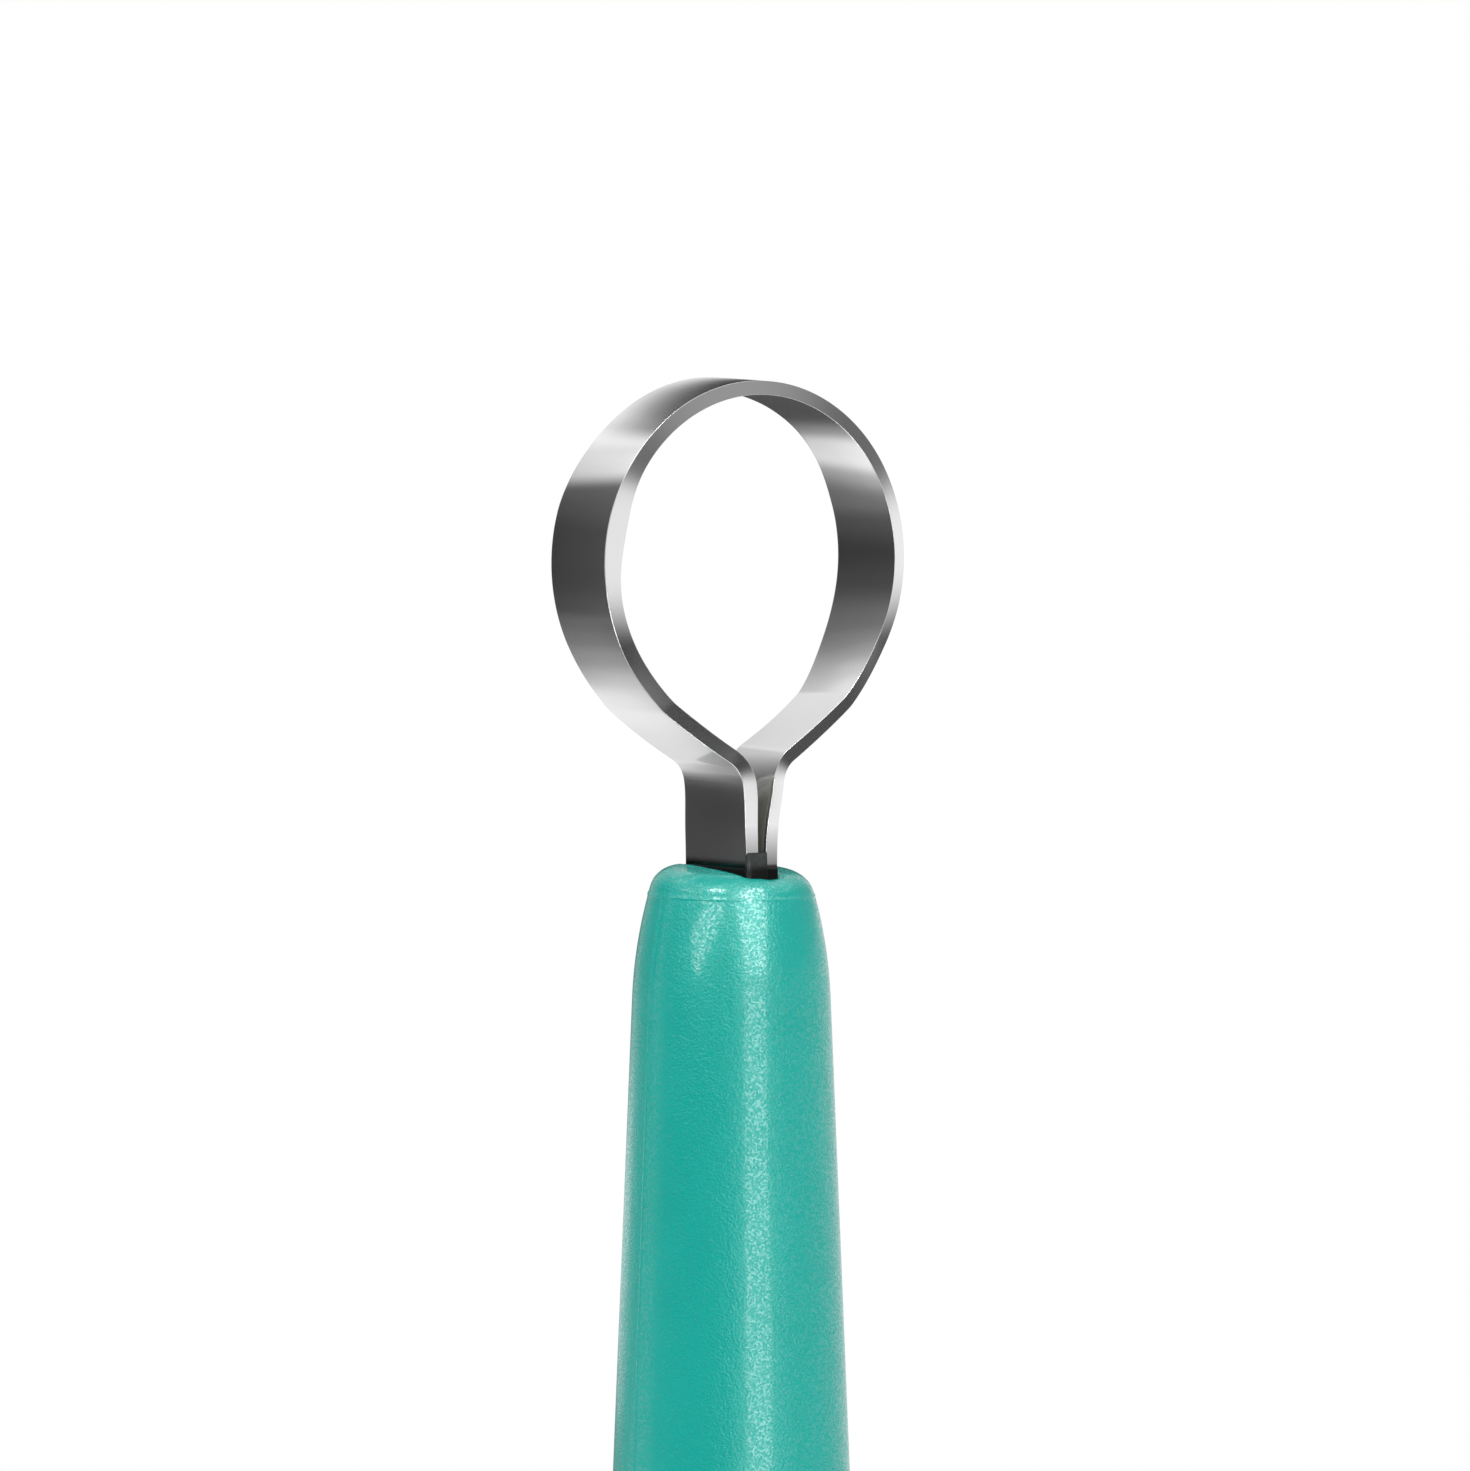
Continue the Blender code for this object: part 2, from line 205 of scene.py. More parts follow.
def skin(name, rings):
    """A closed mesh from rings of points, each end closed by a fan to its middle."""
    ring_count, around_count, _ = rings.shape
    points = rings.reshape(-1, 3)
    poles = np.stack([rings[0].mean(axis=0), rings[-1].mean(axis=0)])
    index = np.arange(ring_count * around_count).reshape(ring_count, around_count)
    following = np.roll(index, -1, axis=1)
    sides = np.stack([index[:-1], index[1:], following[1:], following[:-1]], axis=-1)
    first = np.stack([np.full(around_count, len(points)), index[0], following[0]], axis=-1)
    last = np.stack([np.full(around_count, len(points) + 1), following[-1], index[-1]], axis=-1)
    mesh = bpy.data.meshes.new(name)
    faces = sides.reshape(-1, 4).tolist() + first.tolist() + last.tolist()
    mesh.from_pydata(np.concatenate([points, poles]).tolist(), [], faces)
    mesh.shade_smooth()
    return mesh


def put_in_scene(name, data):
    """A new object that carries the mesh, lamp or camera."""
    thing = bpy.data.objects.new(name, data)
    bpy.context.scene.collection.objects.link(thing)
    return thing


def place(name, mesh, material, node):
    """Put a piece in the scene in place of its node."""
    piece = put_in_scene(name, mesh)
    mesh.materials.append(material)
    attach(piece, "root")
    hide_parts(node)


def with_rows(outline, heights):
    """The outline with more rows at the given heights, each on the outline itself."""
    rows = np.sort(np.concatenate([outline[:, 1], heights]))[::-1]
    return np.stack([np.interp(rows, outline[::-1, 1], outline[::-1, 0]), rows], axis=1)


def handle_rings():
    """Rings from the middle of the slot's floor, up its wall, over the lip and the
    crown, and down the outside to the tail's flat.

    The lip is a quarter of an ellipse, LIP_RUN by LIP_DROP. On the crown each ring
    lies between the slot's edge and a circle, at the height that the nose's outline
    has at each point's own radius. The top leans by CROWN_TILT times y. The ring
    line, the parting ridges and the dip at the near end of the slot are bell curves,
    size e^(-(distance / width)^2). Columns are closer together along the two parting
    lines: u = t - PARTING_CROWDING sin 2t.
    """
    steps = np.linspace(0.0, 2 * math.pi, 300, endpoint=False)
    around = steps - PARTING_CROWDING * np.sin(2 * steps)
    ray = np.stack([np.cos(around), np.sin(around)], axis=1)
    nose = nose_outline()
    edge = slot_radius(around, SLOT_HALF_X, SLOT_HALF_Y, SLOT_CORNER)

    def crown_height(radius):
        return np.interp(radius, nose[:, 0], nose[:, 1])

    radii = []
    heights = []
    for share in (0.3, 0.7, 1.0):
        radii.append(edge * share)
        heights.append(np.full_like(edge, SLOT_FLOOR))
    for share in (0.3, 0.7, 0.95):
        radii.append(edge)
        heights.append(SLOT_FLOOR + (HANDLE_LENGTH - SLOT_FLOOR) * share * np.ones_like(edge))
    for turn in np.linspace(0.0, math.pi / 2, 12):
        out = LIP_RUN * (1.0 - math.cos(turn))
        radii.append(edge + out)
        heights.append(crown_height(edge + out) - LIP_DROP * (1.0 - math.sin(turn)))
    outer = nose[:, 0] > SLOT_HALF_Y + LIP_RUN + LIP_MARGIN
    lip = edge + LIP_RUN
    rim = nose[outer][0, 0]
    for share in np.linspace(0.0, 1.0, 14)[1:-1]:
        radii.append(lip + (rim - lip) * share)
        heights.append(crown_height(radii[-1]))
    ring_line = HANDLE_LENGTH - RING_LINE_DROP
    line_rows = ring_line - RING_LINE_WIDTH * np.linspace(-1.0, 2.0, 13)
    nose = with_rows(nose[outer], line_rows)
    outline = np.concatenate([nose, grip_outline(nose[-1, 0]), tail_outline()])
    step = np.exp(-((outline[:, 1] - ring_line) / RING_LINE_WIDTH) ** 2)
    outline[:, 0] += RING_LINE_STEP * step
    for radius, height in outline:
        past_flat = max(FLAT_BOTTOM - height, height - FLAT_TOP, 0.0)
        reach = FLAT_OFFSET + FLAT_RUN_OUT_SLOPE * past_flat
        flat = np.minimum(radius, reach / np.maximum(np.abs(ray[:, 1]), ALMOST_ZERO))
        across = flat * ray[:, 1]
        ridge = PARTING_HEIGHT * np.exp(-(across / PARTING_WIDTH) ** 2)
        on_sides = TAIL_ROUNDING < height < ring_line
        radii.append(np.minimum(flat + ridge * on_sides, GRIP_RADIUS))
        heights.append(np.full_like(edge, height))
    radii = np.array(radii)
    heights = np.array(heights)
    rings = np.concatenate([radii[..., None] * ray, heights[..., None]], axis=2)
    near_top = smooth_step(1.0 - (HANDLE_LENGTH - heights) / CROWN_TILT_DEPTH)
    from_dip_x = (rings[..., 0] - LIP_DIP_MIDDLE[0]) / LIP_DIP_REACH[0]
    from_dip_y = (rings[..., 1] - LIP_DIP_MIDDLE[1]) / LIP_DIP_REACH[1]
    dip = LIP_DIP * np.exp(-from_dip_x ** 2 - from_dip_y ** 2)
    rings[..., 2] += (CROWN_TILT * rings[..., 1] - dip - CROWN_SINK) * near_top
    return rings


def finish(name, metallic=0.0):
    """A new material and its Principled shader."""
    material = bpy.data.materials.new(name)
    material.use_nodes = True
    shader = material.node_tree.nodes["Principled BSDF"]
    shader.inputs["Metallic"].default_value = metallic
    return material, shader


def add_node(tree, kind, settings=None, inputs=None):
    """A node with its settings and the values or links of its named inputs."""
    node = tree.nodes.new(kind)
    for key, value in (settings or {}).items():
        setattr(node, key, value)
    for key, value in (inputs or {}).items():
        if isinstance(value, bpy.types.NodeSocket):
            tree.links.new(value, node.inputs[key])
        else:
            node.inputs[key].default_value = value
    return node


def add_noise(tree, place_on, scale, detail):
    """Cloudy noise whose lumps are about 1 m / scale across."""
    return add_node(
        tree,
        "ShaderNodeTexNoise",
        None,
        {"Vector": place_on, "Scale": scale, "Detail": detail},
    ).outputs["Fac"]


def combine(tree, operation, *values):
    """What a Math node makes of the values, which are numbers or links."""
    inputs = dict(enumerate(values))
    return add_node(tree, "ShaderNodeMath", {"operation": operation}, inputs).outputs[0]


def blend(tree, kind, factor, first, second):
    """The first number or colour where the factor is 0, and the second where it is 1."""
    return add_node(
        tree,
        "ShaderNodeMix",
        {"data_type": kind},
        {"Factor": factor, "A": first, "B": second},
    ).outputs["Result"]


def smooth_range(tree, value, low, high, to_low, to_high):
    """to_low below low and to_high above high, with a smooth step between."""
    return add_node(
        tree,
        "ShaderNodeMapRange",
        {"interpolation_type": "SMOOTHSTEP"},
        {"Value": value, "From Min": low, "From Max": high, "To Min": to_low, "To Max": to_high},
    ).outputs[0]


def cloud_group():
    """A node group that mixes two colours in cloudy patches.

    The share of the pale one is the noise times Amount.
    """
    group = bpy.data.node_groups.new("cloudy_colour", "ShaderNodeTree")
    sockets = (
        ("Vector", "INPUT", "NodeSocketVector"),
        ("Scale", "INPUT", "NodeSocketFloat"),
        ("Amount", "INPUT", "NodeSocketFloat"),
        ("Dark", "INPUT", "NodeSocketColor"),
        ("Pale", "INPUT", "NodeSocketColor"),
        ("Color", "OUTPUT", "NodeSocketColor"),
    )
    for name, direction, kind in sockets:
        group.interface.new_socket(name=name, in_out=direction, socket_type=kind)
    given = add_node(group, "NodeGroupInput").outputs
    cloud = add_noise(group, given["Vector"], given["Scale"], detail=3.0)
    share = combine(group, "MULTIPLY", cloud, given["Amount"])
    shade = blend(group, "RGBA", share, given["Dark"], given["Pale"])
    add_node(group, "NodeGroupOutput", None, {"Color": shade})
    return group


CLOUDS = cloud_group()


def cloudy_colour(tree, place_on, scale, amount, dark, pale):
    """The group of cloudy patches, placed in a material with its own values."""
    return add_node(
        tree,
        "ShaderNodeGroup",
        {"node_tree": CLOUDS},
        {"Vector": place_on, "Scale": scale, "Amount": amount, "Dark": dark, "Pale": pale},
    ).outputs["Color"]


TEAL_DEEP = (0.001, 0.42, 0.355, 1.0)
TEAL_PALE = (0.006, 0.47, 0.40, 1.0)

# Noise scales, in lumps to a metre.
TEAL_CLOUDS = 900.0
GRAIN_SCALE = 21000.0
PATCH_SCALE = 6000.0
PATCH_SHARE = 0.5
GRAIN_RELIEF = 0.024 * MM

# A range says where it starts, where it ends, and what it gives at either end.
FLECK_RANGE = (0.45, 0.62, 0.1, 0.9)


def teal_plastic():
    """Teal plastic, a little cloudy, with a fine spark-eroded texture that glints."""
    material, shader = finish("teal_plastic")
    tree = material.node_tree
    place_on = add_node(tree, "ShaderNodeTexCoord").outputs["Object"]
    shade = cloudy_colour(
        tree,
        place_on,
        TEAL_CLOUDS,
        amount=1.0,
        dark=TEAL_DEEP,
        pale=TEAL_PALE,
    )
    tree.links.new(shade, shader.inputs["Base Color"])
    grain = add_noise(tree, place_on, GRAIN_SCALE, detail=2.0)
    patches = add_noise(tree, place_on, PATCH_SCALE, detail=1.0)
    uneven = combine(tree, "MULTIPLY_ADD", patches, PATCH_SHARE, grain)
    bump = add_node(
        tree,
        "ShaderNodeBump",
        None,
        {"Height": uneven, "Strength": 1.0, "Distance": GRAIN_RELIEF},
    )
    tree.links.new(bump.outputs["Normal"], shader.inputs["Normal"])
    flecks = smooth_range(tree, grain, *FLECK_RANGE)
    tree.links.new(flecks, shader.inputs["Coat Weight"])
    shader.inputs["Coat Roughness"].default_value = 0.16
    shader.inputs["Coat IOR"].default_value = 1.6
    shader.inputs["Specular IOR Level"].default_value = 0.3
    shader.inputs["Roughness"].default_value = 0.22
    return material


handle_mesh = skin("handle_moulding", handle_rings())
place("handle_moulding", handle_mesh, teal_plastic(), "handle")


# Ring blade
# One strip of bright rolled stainless steel, bent into the ring, the two flanks and
# the two legs that are bonded in the slot. Its near rim is ground back on the ring
# and bevelled, and the bevel fades out down the legs.

LOOP_DIAMETER = 7.0 * MM
HONE_DEPTH = 0.16 * MM
HONE_BEVEL = 0.07 * MM
CORNER_RADIUS = 0.006 * MM

# The bends from the slot's mouth to the top: radius, lean at the end, and steps. The
# flank's radius is worked out.
STRIP_BENDS = (
    (12.4 * MM, math.radians(7.9), 16),
    (0.75 * MM, math.radians(58.0), 34),
    (None, math.radians(53.0), 24),
    (1.3 * MM, math.radians(44.7), 10),
    (4.75 * MM, math.radians(28.2), 16),
    ((LOOP_DIAMETER - STRIP_THICKNESS) / 2, -math.pi / 2, 120),
)
# Places in the list of bends, counted from 0.
NECK_BEND = 1
FLANK = 2
LOOP_START = 4

# Rows across each flat side of the strip, two of them close to its corners so that
# the side between them shades flat.
SIDE_ROWS = (0.012, 0.5, 0.988)

TOP_SKEW = 0.054
TOP_SKEW_DROP = 2.4 * MM
TOP_SKEW_RUN = 1.6 * MM

# Bell curves: size, height of the middle and reach. The neck's height is from the
# tail, and the others are from the ring's middle.
LEFT_ROLL = (0.10 * MM, 0.7 * MM, 0.9 * MM)
LEFT_SLOPE = (0.025 * MM, -1.9 * MM, 0.7 * MM)
RIGHT_SLOPE = (0.045 * MM, -2.3 * MM, 1.1 * MM)
RIGHT_FLANK_SKEW = (0.186, -3.35 * MM, 1.27 * MM)
NECK_SWAY = (0.075 * MM, MOUTH + 1.65 * MM, 0.62 * MM)


def flank_radius():
    """The radius that lets the two halves meet: the steps r (cos a0 - cos a) of all
    the bends add up to minus the foot's distance from the axis."""
    reached = LEG_SPACING / 2
    lean = 0.0
    for radius, angle, _ in STRIP_BENDS:
        if radius:
            reached += math.copysign(radius, angle - lean) * (math.cos(lean) - math.cos(angle))
        lean = angle
    return reached / (math.cos(STRIP_BENDS[NECK_BEND][1]) - math.cos(STRIP_BENDS[FLANK][1]))


def half_path():
    """Middle line of one half from the end of its leg to the top, with its lean.

    The two shares go from 0 on the leg to 1 on the ring: how far the near rim is
    ground back, which grows along the flank, and bevelled, which grows up the leg.
    """
    leg_heights = np.linspace(MOUTH - LEG_DEPTH, MOUTH, 10)
    points = [np.stack([np.full(10, LEG_SPACING / 2), leg_heights], axis=1)]
    leans = [np.zeros(10)]
    ends = []
    for radius, angle, count in STRIP_BENDS:
        added, reached = bend(points[-1][-1], radius or flank_radius(), leans[-1][-1], angle, count)
        points.append(added)
        leans.append(reached)
        ends.append(added[-1, 1])
    points = np.concatenate(points)
    heights = points[:, 1]
    ground = smooth_step((heights - ends[NECK_BEND]) / (ends[LOOP_START] - ends[NECK_BEND]))
    bevelled = smooth_step((heights - MOUTH) / (ends[NECK_BEND] - MOUTH))
    return points, np.concatenate(leans), ground, bevelled


def bell(heights, size, middle, reach):
    """size e^(-((z - middle) / reach)^2)."""
    return size * np.exp(-((heights - middle) / reach) ** 2)


def strip_section(ground, bevelled, rolled, sloped):
    """The strip's outline at each point of its path: (steps, points, offset and y).

    A rectangle with rounded corners, each a quarter turn of CORNER_RADIUS. The near
    side slopes back towards the outer face by HONE_BEVEL for every STRIP_THICKNESS,
    and by the length sloped more. Its inner corner stands in by the length rolled.
    """
    turns = np.linspace(0.0, math.pi / 2, 5)
    along_side = np.array(SIDE_ROWS)
    half = STRIP_THICKNESS / 2
    near_inner = -STRIP_WIDTH / 2 + HONE_DEPTH * ground
    near_outer = near_inner + HONE_BEVEL * bevelled * (1.0 + rolled / STRIP_THICKNESS) + sloped
    far = np.full_like(ground, STRIP_WIDTH / 2)
    corners = (
        (-half - rolled, near_inner, 1, 1),
        (np.full_like(far, half), near_outer, -1, 1),
        (np.full_like(far, half), far, -1, -1),
        (np.full_like(far, -half), far, 1, -1),
    )
    offsets = []
    places = []
    for index, (offset, y, to_x, to_y) in enumerate(corners):
        quarter = turns + index * math.pi / 2 + math.pi
        centre_offset = offset + to_x * CORNER_RADIUS
        centre_y = y + to_y * CORNER_RADIUS
        offsets.append(centre_offset[:, None] + CORNER_RADIUS * np.cos(quarter))
        places.append(centre_y[:, None] + CORNER_RADIUS * np.sin(quarter))
    for outline in (offsets, places):
        for index in range(3, -1, -1):
            start = outline[index][:, -1:]
            end = outline[(index + 1) % 4][:, :1]
            outline.insert(index + 1, start + (end - start) * along_side)
    return np.concatenate(offsets, axis=1), np.concatenate(places, axis=1)


def strip_rings():
    """The section carried along the whole path, from the left leg to the right one.

    A section's offset is measured square to the path, along (cos lean, -sin lean).
    The near rim is rolled in at the left and slopes more low on the ring, and the
    neck stands a little to the right, each by a bell curve along the height. The top
    of the ring stands skew: x grows by TOP_SKEW times the distance from the near rim.
    The right flank does so too, by a bell curve.
    """
    points, leans, ground, bevelled = half_path()
    top = points[-1, 1]
    middle = top - (LOOP_DIAMETER - STRIP_THICKNESS) / 2
    rise = points[:, 1] - middle
    rolled_left = bell(rise, *LEFT_ROLL)
    not_rolled = np.zeros_like(rise)
    halves = []
    for rolled, slope in ((rolled_left, LEFT_SLOPE), (not_rolled, RIGHT_SLOPE)):
        offsets, places = strip_section(ground, bevelled, rolled, bell(rise, *slope))
        across = points[:, 0, None] + offsets * np.cos(leans)[:, None]
        heights = points[:, 1, None] - offsets * np.sin(leans)[:, None]
        halves.append(np.stack([across, places, heights], axis=2))
    left, right = halves
    right[..., 0] += bell(rise, *RIGHT_FLANK_SKEW)[:, None] * (right[..., 1] + STRIP_WIDTH / 2)
    rings = np.concatenate([left[:-1] * (-1.0, 1.0, 1.0), right[::-1]])
    near_top = smooth_step((rings[..., 2] - top + TOP_SKEW_DROP) / TOP_SKEW_RUN)
    rings[..., 0] += TOP_SKEW * (rings[..., 1] + STRIP_WIDTH / 2) * near_top
    rings[..., 0] += bell(rings[..., 2], *NECK_SWAY)
    return rings


def straight_range(tree, value, low, high, to_low, to_high):
    """to_low below low and to_high above high, with a straight line between."""
    return add_node(
        tree,
        "ShaderNodeMapRange",
        None,
        {"Value": value, "From Min": low, "From Max": high, "To Min": to_low, "To Max": to_high},
    ).outputs[0]


STEEL_DARK = (0.82, 0.82, 0.825, 1.0)
STEEL_PALE = (0.86, 0.86, 0.86, 1.0)
STEEL_CLOUDS = 1500.0
STEEL_ROUGHNESS = 0.13
# Painted shade: near black over both feet just above the slot's mouth, fading up their near edges.
FOOT_SHADE_BLACK = (0.03, 0.03, 0.03, 1.0)
FOOT_SHADE_UPWARD = (MOUTH, MOUTH + 0.9 * MM, 0.9, 0.0)
FOOT_SHADE_FORWARD = (-0.47 * STRIP_WIDTH, -0.49 * STRIP_WIDTH, 0.0, 1.0)
CONTACT_SHADE_UPWARD = (MOUTH + 0.09 * MM, MOUTH + 0.26 * MM, 1.0, 0.0)
FILM_GREY = (0.21, 0.21, 0.18, 1.0)
FILM_ROUGHNESS = 0.5
FILM_OUTWARD = (0.23 * MM, 0.345 * MM, 1.0, 0.0)
FILM_INWARD = (-0.462 * STRIP_WIDTH, -0.445 * STRIP_WIDTH, 0.0, 1.0)
FILM_UPWARD = (MOUTH + 1.8 * MM, MOUTH + 2.3 * MM, 1.0, 0.0)


def bright_steel():
    """Rolled stainless steel, with painted shade and a resin film on its legs.

    A near-black painted shade covers both feet just above the slot's mouth and fades up
    their near edges, and resin lies as a dull film on the two faces that look at each other.
    """
    material, shader = finish("bright_steel", metallic=1.0)
    tree = material.node_tree
    place_on = add_node(tree, "ShaderNodeTexCoord").outputs["Object"]
    parts = add_node(tree, "ShaderNodeSeparateXYZ", None, {"Vector": place_on}).outputs
    steel = cloudy_colour(
        tree,
        place_on,
        STEEL_CLOUDS,
        amount=1.0,
        dark=STEEL_DARK,
        pale=STEEL_PALE,
    )
    # Painted shade, darkest at the mouth: up the near edges towards the foot, and round both feet.
    above_foot = straight_range(tree, parts["Z"], *FOOT_SHADE_UPWARD)
    at_near_edge = straight_range(tree, parts["Y"], *FOOT_SHADE_FORWARD)
    foot_shade = combine(tree, "MULTIPLY", above_foot, at_near_edge)
    contact_shade = smooth_range(tree, parts["Z"], *CONTACT_SHADE_UPWARD)
    foot_shade = combine(tree, "MAXIMUM", foot_shade, contact_shade)
    foot_shaded = blend(tree, "RGBA", foot_shade, steel, FOOT_SHADE_BLACK)
    beside = combine(tree, "ABSOLUTE", parts["X"])
    between = smooth_range(tree, beside, *FILM_OUTWARD)
    inward = smooth_range(tree, parts["Y"], *FILM_INWARD)
    below = smooth_range(tree, parts["Z"], *FILM_UPWARD)
    film = combine(tree, "MULTIPLY", between, inward)
    film = combine(tree, "MULTIPLY", film, below)
    filmed = blend(tree, "RGBA", film, foot_shaded, FILM_GREY)
    tree.links.new(filmed, shader.inputs["Base Color"])
    metallic = combine(tree, "SUBTRACT", 1.0, film)
    tree.links.new(metallic, shader.inputs["Metallic"])
    roughness = combine(tree, "MULTIPLY_ADD", film, FILM_ROUGHNESS, STEEL_ROUGHNESS)
    tree.links.new(roughness, shader.inputs["Roughness"])
    return material


strip_mesh = skin("ring_strip", strip_rings())
place("ring_strip", strip_mesh, bright_steel(), "ring_blade")


# Bonding compound
# Dark resin that fills the slot round the legs. It stands a little proud between
# them, and a square lap of it covers the near edge of the left leg's foot.

COMPOUND_CLEARANCE = 0.015 * MM
TONGUE_HEIGHT = 0.37 * MM
LAP_THICKNESS = 0.04 * MM
LAP_SOFTNESS = 0.02 * MM
RESIN_SINK = 0.08 * MM
FILLET_TOP = 0.065 * MM
FILLET_REACH = 0.05 * MM
WALL_TOP = MOUTH - 0.3 * MM


def compound_height(x, y):
    """Height of the resin over the slot.

    At the slot's wall it follows the crown's tilt, a little lower. It climbs to
    FILLET_TOP where it wets the legs, and inside the tongue's plan it reaches
    TONGUE_HEIGHT, with smooth_step over LAP_SOFTNESS at the plan's edges.
    """
    beside_legs = np.abs(x) - (LEG_SPACING + STRIP_THICKNESS) / 2
    past_legs = np.abs(y) - STRIP_WIDTH / 2
    wet = smooth_step(1.0 - np.maximum(beside_legs, past_legs) / FILLET_REACH)
    at_wall = MOUTH + CROWN_TILT * y - RESIN_SINK
    low = at_wall + (MOUTH + FILLET_TOP - at_wall) * wet
    leg_left = -(LEG_SPACING + STRIP_THICKNESS) / 2
    gap = (LEG_SPACING - STRIP_THICKNESS) / 2
    near = -STRIP_WIDTH / 2
    between = smooth_step((gap + LAP_SOFTNESS - np.abs(x)) / LAP_SOFTNESS)
    between = between * smooth_step((-near - y) / LAP_SOFTNESS)
    over_leg = smooth_step((x - leg_left + LAP_SOFTNESS) / LAP_SOFTNESS)
    over_leg = over_leg * smooth_step((gap + LAP_SOFTNESS - x) / LAP_SOFTNESS)
    in_front = over_leg * (y < near + LAP_THICKNESS)
    starts = smooth_step((y - near + LAP_THICKNESS + LAP_SOFTNESS) / LAP_SOFTNESS)
    raised = np.maximum(between, in_front) * starts
    return low + (MOUTH + TONGUE_HEIGHT - low) * raised


def compound_rings():
    """Rings from the slot's floor up its wall and in over the resin's top.

    Each ring over the top is the wall's outline times a share that falls to 0.02.
    """
    around = np.linspace(0.0, 2 * math.pi, 720, endpoint=False)
    edge = slot_radius(
        around,
        SLOT_HALF_X - COMPOUND_CLEARANCE,
        SLOT_HALF_Y - COMPOUND_CLEARANCE,
        SLOT_CORNER - COMPOUND_CLEARANCE,
    )
    wall_x = edge * np.cos(around)
    wall_y = edge * np.sin(around)
    rings = []
    for share in (0.0, 1.0):
        level = SLOT_FLOOR + COMPOUND_CLEARANCE + (WALL_TOP - SLOT_FLOOR) * share
        rings.append(np.stack([wall_x, wall_y, np.full_like(edge, level)], axis=1))
    for share in np.linspace(1.0, 0.02, 110):
        x = wall_x * share
        y = wall_y * share
        rings.append(np.stack([x, y, compound_height(x, y)], axis=1))
    return np.array(rings[::-1])


# Painted shade: the resin is black low in the slot, where its gap lies in shade.
RESIN_SHADE_BLACK = (0.002, 0.002, 0.002, 1.0)
RESIN_DULL = (0.070, 0.078, 0.077, 1.0)
RESIN_CLOUDS = 5000.0
DULL_UPWARD = (MOUTH, MOUTH + 0.18 * MM, 0.0, 1.0)


def dull_resin_with_painted_shade():
    """Set resin, cloudy dark grey on the raised lap, painted black as shade low in the slot."""
    material, shader = finish("dull_resin_with_painted_shade")
    tree = material.node_tree
    place_on = add_node(tree, "ShaderNodeTexCoord").outputs["Object"]
    parts = add_node(tree, "ShaderNodeSeparateXYZ", None, {"Vector": place_on}).outputs
    raised = smooth_range(tree, parts["Z"], *DULL_UPWARD)
    shade = cloudy_colour(
        tree,
        place_on,
        RESIN_CLOUDS,
        amount=raised,
        dark=RESIN_SHADE_BLACK,
        pale=RESIN_DULL,
    )
    tree.links.new(shade, shader.inputs["Base Color"])
    shader.inputs["Specular IOR Level"].default_value = 0.12
    shader.inputs["Roughness"].default_value = 0.35
    return material


compound_mesh = skin("leg_compound", compound_rings())
place("leg_compound", compound_mesh, dull_resin_with_painted_shade(), "leg_filler")


# Floor
# A pale round table top under the tail. It is small, so that the blade's lower
# flanks mirror it and its sides mirror the dark room beyond.

FLOOR_RADIUS = 240 * MM
FLOOR_THICKNESS = 2 * MM


def floor_mesh():
    """A flat disc of circles at z = 0, with a thin edge."""
    around = np.linspace(0.0, 2 * math.pi, 96, endpoint=False)
    rings = []
    for radius in (FLOOR_RADIUS, FLOOR_RADIUS * 0.5, FLOOR_RADIUS * 0.1):
        x = radius * np.cos(around)
        y = radius * np.sin(around)
        rings.append(np.stack([x, y, 0.0 * around], axis=1))
    lower = rings[0] - (0.0, 0.0, FLOOR_THICKNESS)
    return skin("table_top", np.array(rings[::-1] + [lower]))


floor_material, floor_shader = finish("pale_table")
floor_shader.inputs["Base Color"].default_value = (0.92, 0.92, 0.92, 1.0)
floor_shader.inputs["Roughness"].default_value = 0.9
table_top = put_in_scene("table_top", floor_mesh())
table_top.data.materials.append(floor_material)


# Ring card
# A disc of printed greys that stands close behind the ring. Only mirrors see it, and
# it gives the flat faces of the strip the light and dark of the studio.

RING_MIDDLE = 136.46 * MM
CARD_DISTANCE = 20.2 * MM
CARD_RADIUS = 21.5 * MM
CARD_THICKNESS = 0.2 * MM

# Ranges on the card, by the distance from the ring's axis, or across or upward from it.
OUTSIDE_BEYOND = (14.0 * MM, 15.4 * MM, 0.0, 1.0)
NECK_WITHIN = (7.2 * MM, 8.2 * MM, 1.0, 0.0)
NECK_TONES = (-8.0 * MM, 1.6 * MM, 0.20, 0.95)
INSIDE_GRADE = (10.4 * MM, 12.4 * MM, 0.66, 1.12)
OUTSIDE_GRADE = (15.8 * MM, 18.0 * MM, 0.55, 1.31)
EVEN_ACROSS = (-6.0 * MM, -3.0 * MM, 0.0, 1.0)
SHADE_BEYOND = (17.3 * MM, 18.1 * MM, 0.0, -0.7)
SHADE_UPWARD = (-12.0 * MM, -9.0 * MM, 1.0, 0.0)

# Degrees from +X towards +Z, and the brightness there.
OUTSIDE_TONES = (
    (78, 0.03),
    (92, 0.12),
    (106, 1.04),
    (114, 1.46),
    (122, 1.28),
    (135, 0.12),
    (150, 0.075),
    (165, 0.045),
    (192, 0.045),
    (210, 0.075),
    (217, 0.17),
    (228, 0.25),
    (240, 0.42),
    (250, 0.72),
    (262, 0.96),
    (282, 0.98),
    (287, 0.88),
    (292, 0.85),
    (305, 0.75),
    (345, 0.03),
)
INSIDE_TONES = (
    (20, 0.90),
    (45, 1.26),
    (80, 1.40),
    (98, 1.02),
    (115, 0.54),
    (124, 0.34),
    (136, 0.215),
    (167, 0.07),
    (190, 0.045),
    (213, 0.09),
    (230, 0.20),
    (248, 0.54),
    (263, 1.22),
    (284, 1.06),
    (300, 0.30),
    (315, 0.07),
    (345, 0.07),
)


